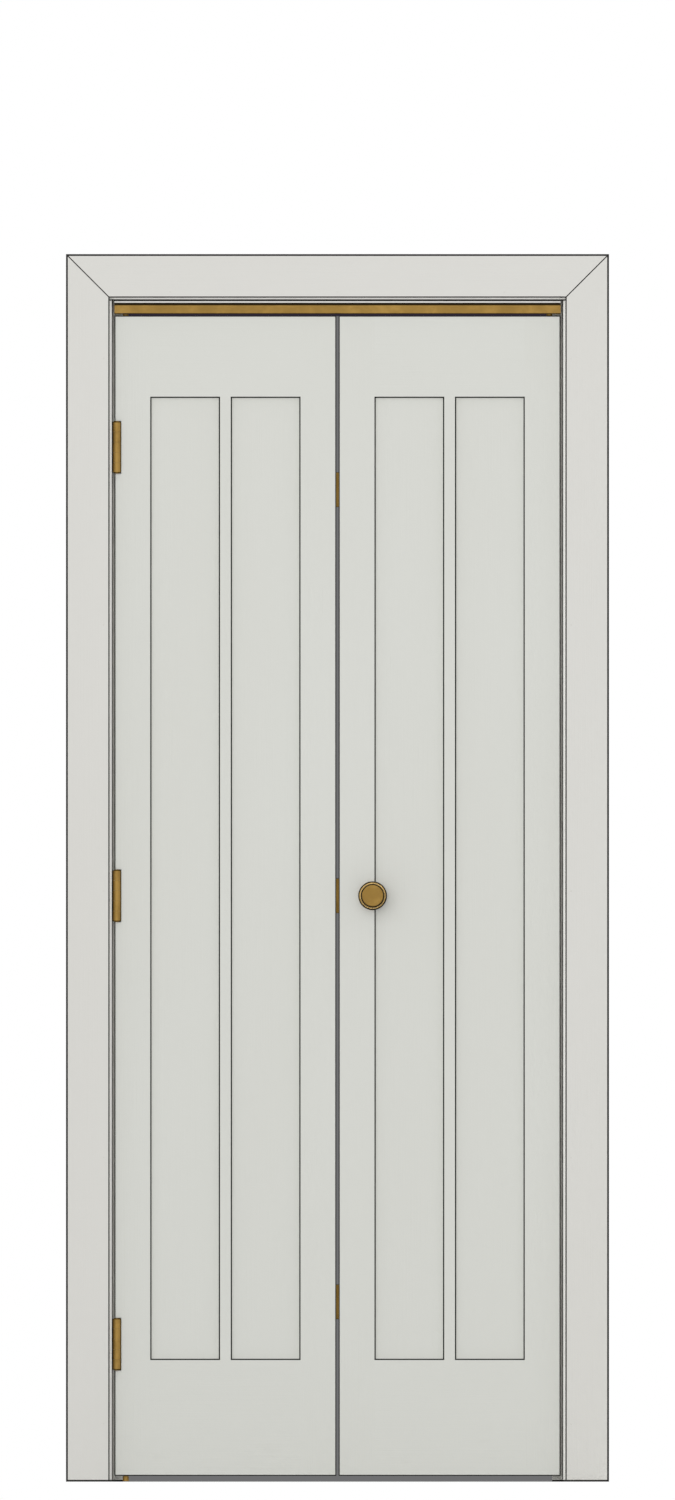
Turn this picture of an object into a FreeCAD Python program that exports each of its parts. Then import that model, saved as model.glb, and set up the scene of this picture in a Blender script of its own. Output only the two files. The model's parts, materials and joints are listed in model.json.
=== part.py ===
import FreeCAD, Part
import os
import Sketcher
from FreeCAD import Rotation, Vector

# Two-leaf bifold closet door in its cased jamb, in millimetres.
# X runs along the wall, -Y is the room side, +Z is up. The origin is on the floor, at the centre of
# the whole object's box. Leaf 1 hangs on butt hinges on the left jamb, leaf 2 folds on leaf 1.

SIZES = {
    # the clear opening between the jambs, above the floor
    "opening_width": 776,
    "opening_height": 2036,
    # jambs, stops and casing
    "jamb_thickness": 25,
    "jamb_depth": 116,
    "housing_depth": 10,
    "stop_projection": 18,
    "stop_depth": 30,
    "stop_clearance": 9.5,
    "casing_width": 75,
    "casing_thickness": 18,
    "casing_reveal": 5,
    "casing_land": 15,
    "casing_relief": 2,
    "casing_round": 2,
    "corner_screw_spacing": 70,
    "corner_screw_length": 55,
    "fixing_radius": 2.75,
    "fixing_end_distance": 300,
    "fixing_back_distance": 20,
    # gaps round the leaves
    "side_gap": 3.5,
    "centre_gap": 4,
    "floor_gap": 10,
    "track_gap": 3,
    "leaf_setback": 5,
    # one leaf
    "leaf_thickness": 35,
    "stile_width": 62,
    "mullion_width": 19,
    "top_rail_height": 140,
    "bottom_rail_height": 200,
    "groove_depth": 6,
    "tongue_thickness": 9,
    "tongue_play": 0.1,
    "tongue_end_gap": 1,
    "panel_thickness": 19,
    "panel_quirk": 1.6,
    "arris_round": 2,
    "dowel_radius": 5,
    "dowel_length": 70,
    "top_dowel_spacing": 70,
    "bottom_dowel_spacing": 100,
    # overhead track
    "track_height": 18,
    "track_width": 28,
    "track_wall": 1.5,
    "track_end_gap": 3.5,
    "track_setback": 0.5,
    "packer_thickness": 5,
    "packer_inset": 2,
    "track_screw_end_distance": 60,
    "track_screw_length": 24,
    "bumper_length": 12,
    # butt hinges between the left jamb and leaf 1
    "butt_height": 88,
    "butt_end_distance": 227,
    "butt_barrel_radius": 7.25,
    "butt_barrel_play": 0.4,
    "butt_pin_radius": 3,
    "butt_plate_width": 25,
    "butt_plate_thickness": 2,
    "butt_screw_spacing": 28,
    "butt_screw_length": 20,
    # fold hinges between the leaves
    "fold_height": 58,
    "fold_end_distance": 300,
    "fold_barrel_radius": 4,
    "fold_pin_radius": 1.75,
    "fold_plate_width": 27,
    "fold_plate_thickness": 1.7,
    "fold_screw_spacing": 19,
    "fold_screw_length": 18,
    # what every hinge shares
    "pin_play": 0.05,
    "pin_head_thickness": 1,
    "knuckle_gap": 0.3,
    "scoop_play": 0.5,
    # wood screws
    "wood_screw_radius": 1.75,
    "wood_screw_head_radius": 3.2,
    "corner_screw_radius": 2.5,
    "corner_screw_head_radius": 4.8,
    "track_screw_radius": 2,
    "track_screw_head_radius": 4,
    "track_screw_head_height": 2.2,
    "slot_width": 0.9,
    "slot_depth": 1,
    # finish nails, set below the face and painted over
    "nail_radius": 0.8,
    "nail_head_radius": 1.2,
    "nail_head_height": 1,
    "nail_set": 2,
    "nail_bite": 16,
    "nail_end_distance": 100,
    # pins in the ends of the leaves
    "guide_inset": 19.5,
    "guide_offset": 8,
    "guide_radius": 5,
    "guide_engagement": 12,
    "guide_neck": 2,
    "guide_stem_radius": 3,
    "guide_head_radius": 4.5,
    "guide_head_thickness": 1,
    "guide_play": 0.3,
    "guide_collar_radius": 5.6,
    "guide_collar_height": 3,
    "bushing_radius": 7,
    "bushing_lip": 3,
    "bushing_floor": 1.5,
    "bushing_play": 0.1,
    "spring_solid_length": 8,
    "spring_wire_radius": 0.45,
    "spring_turns": 7,
    "lift_pin_length": 30,
    "lift_pin_clearance": 0.7,
    "foot_radius": 5.3,
    "foot_height": 5.5,
    "foot_clearance": 0.5,
    "foot_stem_radius": 4,
    "foot_nut_height": 3,
    "foot_socket_length": 35,
    "foot_thread_length": 17.5,
    # pull knob on leaf 2
    "knob_inset": 58.5,
    "knob_projection": 42,
    "knob_radius": 20.5,
    "knob_rim": 10,
    "knob_neck_radius": 8,
    "knob_round": 3.5,
    "rose_radius": 24.75,
    "rose_thickness": 5,
    "rose_round": 1.5,
    "knob_screw_radius": 2,
    "knob_screw_grip": 14,
    "knob_screw_head_radius": 4.5,
    "knob_screw_head_height": 2.2,
}

# Heights, depths and places that follow from the sizes.
PLACES = {
    "half_opening": "size.opening_width / 2",
    "half_casing": "half_opening + size.casing_reveal + size.casing_width",
    "head_top": "size.opening_height + size.jamb_thickness",
    # depths, from the room side to the back; the knob and the jamb's back edge are the outermost
    "leaf_mid": "(size.knob_projection + size.leaf_thickness + size.leaf_setback - size.jamb_depth) / 2",
    "leaf_front": "leaf_mid - size.leaf_thickness / 2",
    "leaf_back": "leaf_mid + size.leaf_thickness / 2",
    "jamb_front": "leaf_front - size.leaf_setback",
    "jamb_back": "jamb_front + size.jamb_depth",
    "jamb_mid": "(jamb_front + jamb_back) / 2",
    "stop_front": "leaf_back + size.stop_clearance",
    "stop_back": "stop_front + size.stop_depth",
    "casing_front": "jamb_front - size.casing_thickness",
    # a mitre is cut evenly to both sides of the jamb's front, so half of this passes the casing
    "mitre_cut_depth": "4 * size.casing_thickness",
    "fixing_y": "jamb_back - size.fixing_back_distance",
    "guide_y": "leaf_mid - size.guide_offset",
    "track_front": "jamb_front + size.track_setback",
    "track_back": "track_front + size.track_width",
    "track_mid": "(track_front + track_back) / 2",
    # heights
    "track_top": "size.opening_height - size.packer_thickness",
    "track_low": "track_top - size.track_height",
    "track_web": "track_top - size.track_wall",
    "leaf_top": "track_low - size.track_gap",
    "leaf_low": "size.floor_gap",
    "leaf_centre": "(leaf_low + leaf_top) / 2",
    "stop_top": "size.opening_height - size.stop_projection",
    "panel_low": "leaf_low + size.bottom_rail_height",
    "panel_top": "leaf_top - size.top_rail_height",
    "top_rail_centre": "leaf_top - size.top_rail_height / 2",
    "bottom_rail_centre": "leaf_low + size.bottom_rail_height / 2",
    # across one leaf
    "leaf_inner": "size.centre_gap / 2",
    "leaf_outer": "half_opening - size.side_gap",
    "stile_inner": "leaf_inner + size.stile_width",
    "stile_outer": "leaf_outer - size.stile_width",
    "leaf_axis": "(leaf_inner + leaf_outer) / 2",
    "mullion_inner": "leaf_axis - size.mullion_width / 2",
    "mullion_outer": "leaf_axis + size.mullion_width / 2",
    "half_tongue": "size.tongue_thickness / 2",
    "half_groove": "half_tongue + size.tongue_play",
    "tongue_reach": "size.groove_depth - size.tongue_end_gap",
    # hinge axes
    "butt_x": "-half_opening + size.butt_barrel_play + size.butt_barrel_radius",
    "butt_y": "leaf_front",
    "fold_y": "leaf_back",
    "track_half_length": "half_opening - size.track_end_gap",
    # pins in the ends of the leaves
    "guide_x": "leaf_outer - size.guide_inset",
    "guide_top": "track_low + size.guide_engagement",
    "guide_travel": "guide_top - leaf_top - size.guide_neck",
    "collar_top": "leaf_top - size.bushing_lip",
    "collar_low": "collar_top - size.guide_collar_height",
    "spring_low": "collar_low - guide_travel - size.spring_solid_length",
    "bushing_low": "spring_low - size.bushing_floor",
    "bushing_bore": "size.guide_collar_radius + size.guide_play",
    "spring_radius": "bushing_bore - size.guide_play - size.spring_wire_radius",
    # knob
    "knob_x": "leaf_inner + size.knob_inset",
}

PARTS_FOLDER = "parts"
AXES = {"x": Vector(1, 0, 0), "y": Vector(0, 1, 0), "z": Vector(0, 0, 1)}
TOLERANCE = 1e-6

# How many of each fastener share a line.
LEG_NAILS = 5
HEAD_NAILS = 3
STOP_NAILS = 4
TRACK_SCREWS = 4

BUTT_KNUCKLES = 5
FOLD_KNUCKLES = 3
NUT_SIDES = 6

doc = FreeCAD.newDocument("bifold_closet_door")
nodes = []


# ---------------------------------------------------------------- sheets and values

def fill_sheet(name, rows, prefix):
    """Write one alias and one value or formula in each row of a new sheet."""
    sheet = doc.addObject("Spreadsheet::Sheet", name)
    for row, (alias, content) in enumerate(rows.items(), start=1):
        sheet.set(f"A{row}", alias)
        sheet.set(f"B{row}", f"{prefix}{content}")
        sheet.setAlias(f"B{row}", alias)
    doc.recompute()
    return sheet


size = fill_sheet("size", SIZES, "")
place = fill_sheet("place", PLACES, "=")


def value(expression):
    """The number that an expression on the sheets gives."""
    return float(place.evalExpression(str(expression)))


def point(x, y, z):
    """The point that three expressions give."""
    return Vector(value(x), value(y), value(z))


def less(first, second):
    """The difference of two expressions."""
    return f"({first}) - ({second})"


def shared_out(low, high, count):
    """Expressions for places that share a span out evenly, its ends among them."""
    return [f"{low} + ({less(high, low)}) * {index} / {count - 1}" for index in range(count)]


def mirrored(side, inner, outer):
    """The low and high X of a span, on the side -1 or +1 of the door's centre line."""
    if side < 0:
        return f"-({outer})", f"-({inner})"
    return inner, outer


# ---------------------------------------------------------------- solids

def bind_base(piece, corner):
    """Tie the origin of a piece's placement to three expressions."""
    for axis, expression in zip("xyz", corner):
        piece.setExpression(f"Placement.Base.{axis}", str(expression))


def block(name, x_span, y_span, z_span):
    """A box between two expressions along each axis."""
    box = doc.addObject("Part::Box", name)
    spans = (x_span, y_span, z_span)
    for edge, span in zip(("Length", "Width", "Height"), spans):
        box.setExpression(edge, less(span[1], span[0]))
    bind_base(box, [span[0] for span in spans])
    return box


def turn_along(axis):
    """The rotation that takes +Z to +X, +Y or +Z."""
    return Rotation(AXES["z"], AXES[axis])


def rod(name, start, radius, length, axis="z"):
    """A cylinder from a start point along one axis."""
    cylinder = doc.addObject("Part::Cylinder", name)
    cylinder.Placement.Rotation = turn_along(axis)
    cylinder.setExpression("Radius", radius)
    cylinder.setExpression("Height", length)
    bind_base(cylinder, start)
    return cylinder


def fused(name, *pieces):
    """One solid from several."""
    fuse = doc.addObject("Part::MultiFuse", name)
    fuse.Shapes = list(pieces)
    fuse.Refine = True
    return fuse


def cut(name, base, *tools):
    """A solid with other solids taken out of it."""
    piece = doc.addObject("Part::Cut", name)
    piece.Base = base
    piece.Tool = tools[0] if len(tools) == 1 else fused(f"{name}_tools", *tools)
    return piece


def group(name, solids):
    """Identical small pieces that share one node."""
    piece = doc.addObject("Part::Feature", name)
    piece.Shape = Part.makeCompound(solids)
    return piece


def node(piece, name, count=1):
    """Keep a finished sub-part under its own name, with the number of solids it has."""
    piece.Label = name
    nodes.append((piece, count))
    return piece


# ---------------------------------------------------------------- sketches

def origin_plane(body, role):
    """One of a body's own origin planes."""
    return next(item for item in body.Origin.OriginFeatures if item.Role == role)


def outline(body, name, role, corners):
    """A closed sketch through corners, each a pair of expressions, on one of the body's planes."""
    sketch = body.newObject("Sketcher::SketchObject", name)
    sketch.AttachmentSupport = (origin_plane(body, role), [""])
    sketch.MapMode = "FlatFace"
    spots = [Vector(value(across), value(along), 0) for across, along in corners]
    last = len(spots) - 1
    for index, spot in enumerate(spots):
        following = 0 if index == last else index + 1
        sketch.addGeometry(Part.LineSegment(spot, spots[following]), False)
    for index in range(len(spots)):
        following = 0 if index == last else index + 1
        sketch.addConstraint(Sketcher.Constraint("Coincident", index, 2, following, 1))
    for index, (across, along) in enumerate(corners):
        tie_corner(sketch, index, "DistanceX", across, -2)
        tie_corner(sketch, index, "DistanceY", along, -1)
    return sketch


def tie_corner(sketch, index, kind, expression, axis):
    """Hold one coordinate of a corner on an axis, or at an expression's distance from it."""
    if expression == "0":
        sketch.addConstraint(Sketcher.Constraint("PointOnObject", index, 1, axis))
        return
    number = sketch.addConstraint(Sketcher.Constraint(kind, -1, 1, index, 1, value(expression)))
    sketch.setExpression(f"Constraints[{number}]", expression)


def extruded(name, role, corners, length, corner):
    """A body padded from an outline, with its own origin at a corner of the assembly."""
    body = doc.addObject("PartDesign::Body", name)
    pad = body.newObject("PartDesign::Pad", f"{name}_pad")
    pad.Profile = outline(body, f"{name}_outline", role, corners)
    pad.setExpression("Length", length)
    bind_base(body, corner)
    doc.recompute()
    return body


def turned(name, role, corners, corner):
    """A body turned about the vertical line of its own sketch."""
    body = doc.addObject("PartDesign::Body", name)
    revolution = body.newObject("PartDesign::Revolution", f"{name}_turning")
    sketch = outline(body, f"{name}_outline", role, corners)
    revolution.Profile = sketch
    revolution.ReferenceAxis = (sketch, ["V_Axis"])
    revolution.Angle = 360
    bind_base(body, corner)
    doc.recompute()
    return body


def rounded(body, name, radius, wanted):
    """Round the edges of a body's last feature that a test on the edge picks."""
    feature = body.Tip
    edges = feature.Shape.Edges
    names = [f"Edge{number}" for number, edge in enumerate(edges, start=1) if wanted(edge)]
    fillet = body.newObject("PartDesign::Fillet", name)
    fillet.Base = (feature, names)
    fillet.setExpression("Radius", radius)
    doc.recompute()
    return fillet


def pocketed(body, name, role, corners, depth):
    """Take an outline out of a body, evenly to both sides of its sketch plane."""
    pocket = body.newObject("PartDesign::Pocket", name)
    pocket.Profile = outline(body, f"{name}_outline", role, corners)
    pocket.SideType = "Symmetric"
    pocket.setExpression("Length", depth)
    doc.recompute()
    return pocket


def is_line(edge, direction):
    """Whether an edge is straight and runs along a direction."""
    if edge.Curve.TypeId != "Part::GeomLine":
        return False
    return abs(abs(edge.tangentAt(edge.FirstParameter).dot(direction)) - 1) < TOLERANCE


# ---------------------------------------------------------------- screws

def flat_head_screw(radius, head_radius, length, start, direction):
    """A wood screw, its slotless hole-filling form first, whose flat head ends at start."""
    head_height = head_radius - radius
    head = Part.makeCone(head_radius, radius, head_height, start, direction)
    shank_length = length - radius - head_height
    shank = Part.makeCylinder(radius, shank_length, start + direction * head_height, direction)
    tip = Part.makeCone(radius, 0, radius, start + direction * (length - radius), direction)
    plain = head.fuse([shank, tip]).removeSplitter()
    return plain, plain.cut(driver_slot(head_radius, start, direction))


def pan_head_screw(radius, head_radius, head_height, length, start, direction):
    """A screw, its slotless hole-filling form first, whose head stands head_height behind start."""
    top = start - direction * head_height
    head = Part.makeCylinder(head_radius, head_height, top, direction)
    shank = Part.makeCylinder(radius, length, start, direction)
    plain = head.fuse(shank).removeSplitter()
    return plain, plain.cut(driver_slot(head_radius, top, direction))


def driver_slot(head_radius, top, direction):
    """The slot across a screw's head."""
    width = value("size.slot_width")
    depth = value("size.slot_depth")
    slot = Part.makeBox(2 * head_radius, width, depth, Vector(-head_radius, -width / 2, 0))
    slot.Placement = FreeCAD.Placement(top, Rotation(AXES["z"], direction))
    return slot


def finish_nail(face, direction, thickness):
    """A thin nail sunk below a point on a face, through a thickness and into the wood behind."""
    depth = value("size.nail_set")
    start = face + direction * depth
    length = value(thickness) - depth + value("size.nail_bite")
    head = Part.makeCylinder(value("size.nail_head_radius"), value("size.nail_head_height"), start, direction)
    shank = Part.makeCylinder(value("size.nail_radius"), length, start, direction)
    return head.fuse(shank).removeSplitter()


def screw_node(name, screws):
    """Keep a group of screws as a node, and give the holes that they fill."""
    node(group(name, [slotted for _, slotted in screws]), name, len(screws))
    return group(f"{name}_holes", [plain for plain, _ in screws])


# ---------------------------------------------------------------- jambs, stops and casing

JAMB_DEPTH = ("place.jamb_front", "place.jamb_back")
STOP_DEPTH = ("place.stop_front", "place.stop_back")
LEAF_DEPTH = ("place.leaf_front", "place.leaf_back")
SIDES = {"left": -1, "right": 1}
LEAVES = {"leaf_1": -1, "leaf_2": 1}


def corner_screws():
    """Two screws through the top of each side jamb into the end of the head jamb."""
    screws = []
    for side in SIDES.values():
        for row in (-1, 1):
            start = point(
                f"{side} * (place.half_opening + size.jamb_thickness)",
                f"place.jamb_mid + {row} * size.corner_screw_spacing / 2",
                "size.opening_height + size.jamb_thickness / 2")
            screws.append(flat_head_screw(
                value("size.corner_screw_radius"), value("size.corner_screw_head_radius"),
                value("size.corner_screw_length"), start, AXES["x"] * -side))
    return screw_node("frame_corner_screws", screws)


def trim_nails():
    """The nails that hold the casing and the stops to the jambs."""
    margin = "size.nail_end_distance"
    casing_row = "(place.half_opening + (size.jamb_thickness + size.casing_reveal) / 2)"
    head_row = "size.opening_height + (size.jamb_thickness + size.casing_reveal) / 2"
    stop_row = "(place.stop_front + place.stop_back) / 2"
    casing = "size.casing_thickness"
    stop = "size.stop_projection"
    nails = []
    for side in SIDES.values():
        for z in shared_out(margin, f"(size.opening_height - {margin})", LEG_NAILS):
            face = point(f"{side} * {casing_row}", "place.casing_front", z)
            nails.append(finish_nail(face, AXES["y"], casing))
        for z in shared_out(margin, f"(place.stop_top - {margin})", STOP_NAILS):
            face = point(f"{side} * (place.half_opening - {stop})", stop_row, z)
            nails.append(finish_nail(face, AXES["x"] * side, stop))
    for x in shared_out(f"({margin} - place.half_opening)", f"(place.half_opening - {margin})", HEAD_NAILS):
        nails.append(finish_nail(point(x, "place.casing_front", head_row), AXES["y"], casing))
        nails.append(finish_nail(point(x, stop_row, "place.stop_top"), AXES["z"], stop))
    return node(group("trim_nails", nails), "trim_nails", len(nails))


def side_jamb(name, side, fasteners):
    """A side jamb, housed at its top for the head, with two holes for wall fixings."""
    outer_face = "place.half_opening + size.jamb_thickness"
    post = block(f"{name}_post", mirrored(side, "place.half_opening", outer_face),
                 JAMB_DEPTH, ("0", "place.head_top"))
    housing = block(f"{name}_housing",
                    mirrored(side, "place.half_opening", "place.half_opening + size.housing_depth"),
                    JAMB_DEPTH, ("size.opening_height", "place.head_top"))
    start_x = mirrored(side, "place.half_opening", outer_face)[0]
    heights = {"low": "size.fixing_end_distance", "high": "size.opening_height - size.fixing_end_distance"}
    holes = [rod(f"{name}_fixing_{spot}", (start_x, "place.fixing_y", height),
                 "size.fixing_radius", "size.jamb_thickness", "x")
             for spot, height in heights.items()]
    return node(cut(name, post, housing, *holes, *fasteners), name)


def head_jamb(fasteners):
    """The head, held in the housings of the side jambs."""
    reach = "place.half_opening + size.housing_depth"
    board = block("head_jamb_board", (f"-({reach})", reach), JAMB_DEPTH,
                  ("size.opening_height", "place.head_top"))
    return node(cut("head_jamb", board, *fasteners), "head_jamb")


def stops(nails):
    """Strips behind the closed leaves, which hide the gaps round them."""
    for name, side in SIDES.items():
        span = mirrored(side, "place.half_opening - size.stop_projection", "place.half_opening")
        strip = block(f"stop_{name}_strip", span, STOP_DEPTH, ("0", "place.stop_top"))
        node(cut(f"stop_{name}", strip, nails), f"stop_{name}")
    strip = block("stop_head_strip", ("-place.half_opening", "place.half_opening"), STOP_DEPTH,
                  ("place.stop_top", "size.opening_height"))
    node(cut("stop_head", strip, nails), "stop_head")


def casing_profile():
    """The casing's section: across it from its inner edge, and from its back to the room side."""
    jamb_land = "size.jamb_thickness - size.casing_reveal"
    return [
        ("0", "0"),
        (jamb_land, "0"),
        (jamb_land, "size.casing_relief"),
        ("size.casing_width - size.casing_land", "size.casing_relief"),
        ("size.casing_width - size.casing_land", "0"),
        ("size.casing_width", "0"),
        ("size.casing_width", "size.casing_thickness"),
        ("0", "size.casing_thickness"),
    ]


def side_casing(name, side, nails):
    """A casing leg, mitred at its top."""
    corners = [(f"{side} * ({across})" if across != "0" else "0",
                f"-({depth})" if depth != "0" else "0") for across, depth in casing_profile()]
    inner_edge = "place.half_opening + size.casing_reveal"
    height = "size.opening_height + size.casing_reveal + size.casing_width"
    body = extruded(f"{name}_leg", "XY_Plane", corners, height,
                    (f"{side} * ({inner_edge})", "place.jamb_front", "0"))
    mitre_low = "size.opening_height + size.casing_reveal"
    wedge = [("0", mitre_low), (f"{side} * size.casing_width", height), ("0", height)]
    pocketed(body, f"{name}_mitre", "XZ_Plane", wedge, "place.mitre_cut_depth")
    round_casing(body, name, AXES["z"])
    return node(cut(name, body, nails), name)


def head_casing(nails):
    """The casing over the head, mitred at both ends."""
    corners = [(f"-({depth})" if depth != "0" else "0", across) for across, depth in casing_profile()]
    length = "2 * place.half_casing"
    body = extruded("casing_head_board", "YZ_Plane", corners, length,
                    ("-place.half_casing", "place.jamb_front", "size.opening_height + size.casing_reveal"))
    width = "size.casing_width"
    near = [("0", "0"), (width, "0"), ("0", width)]
    far = [(length, "0"), (length, width), (f"{length} - {width}", "0")]
    for name, wedge in (("casing_head_left_mitre", near), ("casing_head_right_mitre", far)):
        pocketed(body, name, "XZ_Plane", wedge, "place.mitre_cut_depth")
    round_casing(body, "casing_head", AXES["x"])
    return node(cut("casing_head", body, nails), "casing_head")


def round_casing(body, name, along):
    """Ease the casing's two long edges on the room side."""
    front = -value("size.casing_thickness")
    rounded(body, f"{name}_round", "size.casing_round",
            lambda edge: is_line(edge, along) and abs(edge.CenterOfMass.y - front) < TOLERANCE)


# ---------------------------------------------------------------- overhead track

def track_screw_places():
    """Along the track, the screws' distances from the door's centre line."""
    reach = "(place.track_half_length - size.track_screw_end_distance)"
    return shared_out(f"-{reach}", reach, TRACK_SCREWS)


def overhead_track():
    """The inverted channel, its packing strip, its screws and the bumper at its closing end."""
    start_z = "place.track_web"
    screws = [pan_head_screw(
        value("size.track_screw_radius"), value("size.track_screw_head_radius"),
        value("size.track_screw_head_height"), value("size.track_screw_length"),
        point(x, "place.track_mid", start_z), AXES["z"]) for x in track_screw_places()]
    screw_holes = screw_node("track_screws", screws)

    wall = "size.track_wall"
    width = "size.track_width"
    height = "size.track_height"
    channel = [("0", "0"), (wall, "0"), (wall, f"{height} - {wall}"),
               (f"{width} - {wall}", f"{height} - {wall}"), (f"{width} - {wall}", "0"),
               (width, "0"), (width, height), ("0", height)]
    rail = extruded("track_channel", "YZ_Plane", channel, "2 * place.track_half_length",
                    ("-place.track_half_length", "place.track_front", "place.track_low"))
    node(cut("track", rail, screw_holes), "track")

    strip = block("track_packer_strip", ("-place.track_half_length", "place.track_half_length"),
                  ("place.track_front + size.packer_inset", "place.track_back - size.packer_inset"),
                  ("place.track_top", "size.opening_height"))
    node(cut("track_packer", strip, screw_holes), "track_packer")

    bumper = block("track_bumper",
                   ("place.track_half_length - size.bumper_length", "place.track_half_length"),
                   (f"place.track_front + {wall}", f"place.track_back - {wall}"),
                   ("place.track_low + size.track_wall", start_z))
    node(bumper, "track_bumper")
    return screw_holes


# ---------------------------------------------------------------- leaves

def leaf_dowels(leaf, side):
    """Two dowels through each joint between a rail and a stile."""
    radius = value("size.dowel_radius")
    length = value("size.dowel_length")
    rows = {
        "place.top_rail_centre": "size.top_dowel_spacing",
        "place.bottom_rail_centre": "size.bottom_dowel_spacing",
    }
    dowels = []
    for joint in ("place.stile_inner", "place.stile_outer"):
        for centre, spacing in rows.items():
            for step in (-1, 1):
                start = point(f"{side} * ({joint}) - size.dowel_length / 2", "place.leaf_mid",
                              f"{centre} + {step} * {spacing} / 2")
                dowels.append(Part.makeCylinder(radius, length, start, AXES["x"]))
    return node(group(f"{leaf}_dowels", dowels), f"{leaf}_dowels", len(dowels))


def stile(name, side, edge, tools):
    """An upright of the leaf, grooved for the panel on one edge, with the arrises of the other eased."""
    inward = side if edge == "place.leaf_inner" else -side
    half = "size.leaf_thickness / 2"
    width = f"{inward} * size.stile_width"
    groove = f"{inward} * (size.stile_width - size.groove_depth)"
    corners = [("0", f"-{half}"), (width, f"-{half}"), (width, "-place.half_groove"),
               (groove, "-place.half_groove"), (groove, "place.half_groove"),
               (width, "place.half_groove"), (width, half), ("0", half)]
    body = extruded(f"{name}_upright", "XY_Plane", corners, "place.leaf_top - place.leaf_low",
                    (f"{side} * {edge}", "place.leaf_mid", "place.leaf_low"))
    rounded(body, f"{name}_arris", "size.arris_round",
            lambda corner: is_line(corner, AXES["z"]) and abs(corner.CenterOfMass.x) < TOLERANCE)
    return node(cut(name, body, *tools), name)


def rail(name, side, low, high, groove_span, dowels):
    """A rail with stub tenons in the stiles' grooves and a groove for the panels."""
    beam = block(f"{name}_beam", mirrored(side, "place.stile_inner", "place.stile_outer"),
                 LEAF_DEPTH, (low, high))
    reach = "place.tongue_reach"
    tenon = block(f"{name}_tenon",
                  mirrored(side, f"place.stile_inner - {reach}", f"place.stile_outer + {reach}"),
                  ("place.leaf_mid - place.half_tongue", "place.leaf_mid + place.half_tongue"), (low, high))
    groove = block(f"{name}_groove",
                   mirrored(side, f"place.stile_inner - {reach}", f"place.stile_outer + {reach}"),
                   ("place.leaf_mid - place.half_groove", "place.leaf_mid + place.half_groove"), groove_span)
    return node(cut(name, fused(f"{name}_blank", beam, tenon), groove, dowels), name)


def mullion(name, side):
    """The narrow upright between the two panels, grooved on both sides and tenoned in the rails."""
    half = "size.leaf_thickness / 2"
    deep = "size.groove_depth"
    width = "size.mullion_width"
    corners = [("0", f"-{half}"), (width, f"-{half}"), (width, "-place.half_groove"),
               (f"{width} - {deep}", "-place.half_groove"), (f"{width} - {deep}", "place.half_groove"),
               (width, "place.half_groove"), (width, half), ("0", half),
               ("0", "place.half_groove"), (deep, "place.half_groove"),
               (deep, "-place.half_groove"), ("0", "-place.half_groove")]
    start = mirrored(side, "place.mullion_inner", "place.mullion_outer")[0]
    bar = extruded(f"{name}_bar", "XY_Plane", corners, "place.panel_top - place.panel_low",
                   (start, "place.leaf_mid", "place.panel_low"))
    tenon = block(f"{name}_tenon",
                  mirrored(side, f"place.mullion_inner + {deep}", f"place.mullion_outer - {deep}"),
                  ("place.leaf_mid - place.half_tongue", "place.leaf_mid + place.half_tongue"),
                  ("place.panel_low - place.tongue_reach", "place.panel_top + place.tongue_reach"))
    return node(fused(name, bar, tenon), name)


def panel(name, side, inner, outer, tools):
    """A flat panel: a thick field with a shadow quirk round it, and a tongue in the grooves."""
    quirk = "size.panel_quirk"
    reach = "place.tongue_reach"
    field = block(f"{name}_field", mirrored(side, f"{inner} + {quirk}", f"{outer} - {quirk}"),
                  ("place.leaf_mid - size.panel_thickness / 2", "place.leaf_mid + size.panel_thickness / 2"),
                  (f"place.panel_low + {quirk}", f"place.panel_top - {quirk}"))
    tongue = block(f"{name}_tongue", mirrored(side, f"{inner} - {reach}", f"{outer} + {reach}"),
                   ("place.leaf_mid - place.half_tongue", "place.leaf_mid + place.half_tongue"),
                   (f"place.panel_low - {reach}", f"place.panel_top + {reach}"))
    sheet = fused(f"{name}_sheet", field, tongue)
    return node(cut(name, sheet, *tools) if tools else sheet, name)


def leaf_woodwork(leaf, inner_tools, outer_tools, knob_tools):
    """The stiles, rails, mullion, panels and dowels of one leaf."""
    side = LEAVES[leaf]
    dowels = leaf_dowels(leaf, side)
    stile(f"{leaf}_inner_stile", side, "place.leaf_inner", [dowels] + inner_tools + knob_tools)
    stile(f"{leaf}_outer_stile", side, "place.leaf_outer", [dowels] + outer_tools)
    rail(f"{leaf}_top_rail", side, "place.panel_top", "place.leaf_top",
         ("place.panel_top", "place.panel_top + size.groove_depth"), dowels)
    rail(f"{leaf}_bottom_rail", side, "place.leaf_low", "place.panel_low",
         ("place.panel_low - size.groove_depth", "place.panel_low"), dowels)
    mullion(f"{leaf}_mullion", side)
    panel(f"{leaf}_inner_panel", side, "place.stile_inner", "place.mullion_inner", knob_tools)
    panel(f"{leaf}_outer_panel", side, "place.mullion_outer", "place.stile_outer", [])


# ---------------------------------------------------------------- hinges

def spread(end_distance):
    """The heights of the top, middle and bottom hinge of a leaf."""
    return {
        "top": f"place.leaf_top - {end_distance}",
        "middle": "place.leaf_centre",
        "bottom": f"place.leaf_low + {end_distance}",
    }


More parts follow.
